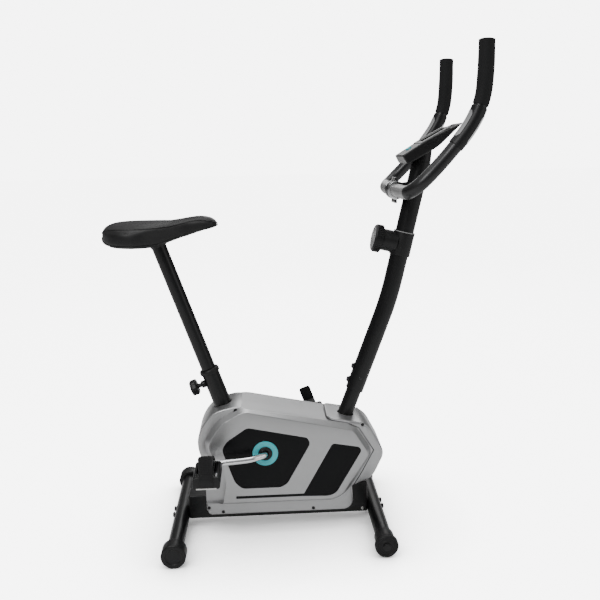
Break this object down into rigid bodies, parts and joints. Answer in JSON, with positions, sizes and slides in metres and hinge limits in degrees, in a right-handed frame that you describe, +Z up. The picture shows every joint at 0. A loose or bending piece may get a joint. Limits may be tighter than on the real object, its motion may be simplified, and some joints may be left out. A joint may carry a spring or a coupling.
{
  "type": "exercise bike",
  "caption": "Upright magnetic exercise bike: cased belt drive with a flywheel, one-piece crank with strapped pedals, sliding saddle post, tilting bar, console and tension dial on a bent mast.",
  "frame": {"origin": "centre of the bounding box's footprint, on the floor", "axes": "+Z up, +X from the saddle towards the handlebar, +Y to the rider's left"},
  "size_m": [0.8708, 0.432, 1.1512],
  "materials": {
    "frame_paint": "satin black paint",
    "casing_silver": "satin silver-grey",
    "inset_dark": "satin dark grey",
    "accent_turquoise": "satin turquoise",
    "chrome": "polished",
    "steel": "zinc plated",
    "rubber_black": "matte",
    "foam_black": "soft foam, matte",
    "bar_paint": "satin, light grey in the middle and black on the arms",
    "saddle_vinyl": "soft vinyl with a low sheen",
    "plastic_black": "moulded, low sheen",
    "screen_glass": "clear cover over a grey display"
  },
  "bodies": {
    "frame": {"bar_clamp": "chrome", "belt": "rubber_black", "cap_front_left": "plastic_black", "cap_front_right": "plastic_black", "console_bracket": "plastic_black", "console_housing": "plastic_black", "console_screen": "screen_glass", "frame_beam": "frame_paint", "frame_flywheel_bracket": "frame_paint", "frame_hub_shell": "frame_paint", "frame_mast_stub": "frame_paint", "frame_seat_tube": "frame_paint", "front_cover": "casing_silver", "hub_ring_left": "accent_turquoise", "hub_ring_right": "accent_turquoise", "inset_front_left": "inset_dark", "inset_front_right": "inset_dark", "inset_rear_left": "inset_dark", "inset_rear_right": "inset_dark", "mast_bolt_1": "steel", "mast_bolt_2": "steel", "mast_post": "frame_paint", "seat_collar": "plastic_black", "shell_left": "casing_silver", "shell_right": "casing_silver", "stabilizer_bolt_front_left": "steel", "stabilizer_bolt_front_right": "steel", "stabilizer_bolt_rear_left": "steel", "stabilizer_bolt_rear_right": "steel", "stabilizer_front": "frame_paint", "stabilizer_rear": "frame_paint", "tension_housing": "plastic_black"},
    "crankset": {"crank": "chrome", "drive_pulley": "plastic_black", "pedal_spindle_right": "steel", "pedal_spindle_left": "steel"},
    "pedal_right_body": {"pedal_right": "plastic_black", "pedal_strap_right": "rubber_black"},
    "pedal_left_body": {"pedal_left": "plastic_black", "pedal_strap_left": "rubber_black"},
    "flywheel_body": {"flywheel": "steel"},
    "idler_body": {"idler_pulley": "plastic_black"},
    "magnet_body": {"magnet_bracket": "steel"},
    "seat_body": {"seat_post": "frame_paint", "saddle_pan": "plastic_black", "saddle_pad": "saddle_vinyl"},
    "pin_body": {"pin_knob": "plastic_black"},
    "dial_body": {"tension_dial": "plastic_black"},
    "handlebar_body": {"handlebar": "bar_paint", "grip_right": "foam_black", "grip_left": "foam_black", "pulse_sensor_right": "plastic_black", "pulse_sensor_left": "plastic_black"},
    "button_body": {"console_button": "accent_turquoise"},
    "roller_right_body": {"roller_right": "rubber_black"},
    "roller_left_body": {"roller_left": "rubber_black"},
    "leveller_right_body": {"cap_rear_right": "plastic_black"},
    "leveller_left_body": {"cap_rear_left": "plastic_black"}
  },
  "joints": [
    {"name": "crank_spin", "type": "hinge", "parent": "frame", "child": "crankset", "pos_m": [-0.06938, 0, 0.212], "axis": [0, 1, 0], "continuous": true},
    {"name": "pedal_right_spin", "type": "hinge", "parent": "crankset", "child": "pedal_right_body", "pos_m": [-0.20313, -0.1635, 0.20382], "axis": [0, 1, 0], "continuous": true},
    {"name": "pedal_left_spin", "type": "hinge", "parent": "crankset", "child": "pedal_left_body", "pos_m": [0.06437, 0.1635, 0.22018], "axis": [0, 1, 0], "continuous": true},
    {"name": "flywheel_spin", "type": "hinge", "parent": "frame", "child": "flywheel_body", "pos_m": [0.13562, 0, 0.183], "axis": [0, 1, 0], "continuous": true},
    {"name": "idler_spin", "type": "hinge", "parent": "frame", "child": "idler_body", "pos_m": [0.04764, 0, 0.1325], "axis": [0, 1, 0], "continuous": true},
    {"name": "tension_turn", "type": "hinge", "parent": "frame", "child": "dial_body", "pos_m": [0.2753, 0, 0.706], "axis": [-0.9736, 0, 0.2283], "range_deg": [0, 270]},
    {"name": "magnet_swing", "type": "hinge", "parent": "frame", "child": "magnet_body", "pos_m": [0.08577, 0, 0.23836], "axis": [0, -1, 0], "range_deg": [0, 4]},
    {"name": "seat_post_slide", "type": "slide", "parent": "frame", "child": "seat_body", "axis": [-0.3223, 0, 0.9466], "range_m": [-0.15, 0.05]},
    {"name": "pin_pull", "type": "slide", "parent": "frame", "child": "pin_body", "axis": [-0.9466, 0, -0.3223], "range_m": [0, 0.009], "stiffness_N_per_m": 1500, "springref_m": -0.004},
    {"name": "handlebar_tilt", "type": "hinge", "parent": "frame", "child": "handlebar_body", "pos_m": [0.25862, 0, 0.834], "axis": [0, 1, 0], "range_deg": [-15, 15]},
    {"name": "button_press", "type": "slide", "parent": "frame", "child": "button_body", "axis": [0.4741, 0, -0.8805], "range_m": [0, 0.0015], "stiffness_N_per_m": 300, "springref_m": -0.001},
    {"name": "roller_right_spin", "type": "hinge", "parent": "frame", "child": "roller_right_body", "pos_m": [0.20562, -0.2052, 0.029], "axis": [0, 1, 0], "continuous": true},
    {"name": "roller_left_spin", "type": "hinge", "parent": "frame", "child": "roller_left_body", "pos_m": [0.20562, 0.2052, 0.029], "axis": [0, 1, 0], "continuous": true},
    {"name": "leveller_right_turn", "type": "hinge", "parent": "frame", "child": "leveller_right_body", "pos_m": [-0.28538, -0.198, 0.029], "axis": [0, 1, 0], "range_deg": [0, 90]},
    {"name": "leveller_left_turn", "type": "hinge", "parent": "frame", "child": "leveller_left_body", "pos_m": [-0.28538, 0.198, 0.029], "axis": [0, 1, 0], "range_deg": [0, 90]}
  ],
  "couplings": [
    {"joint": "flywheel_spin", "follows": "crank_spin", "ratio": 5.8667},
    {"joint": "idler_spin", "follows": "crank_spin", "ratio": -7.3333},
    {"joint": "magnet_swing", "follows": "tension_turn", "ratio": 0.0148}
  ]
}
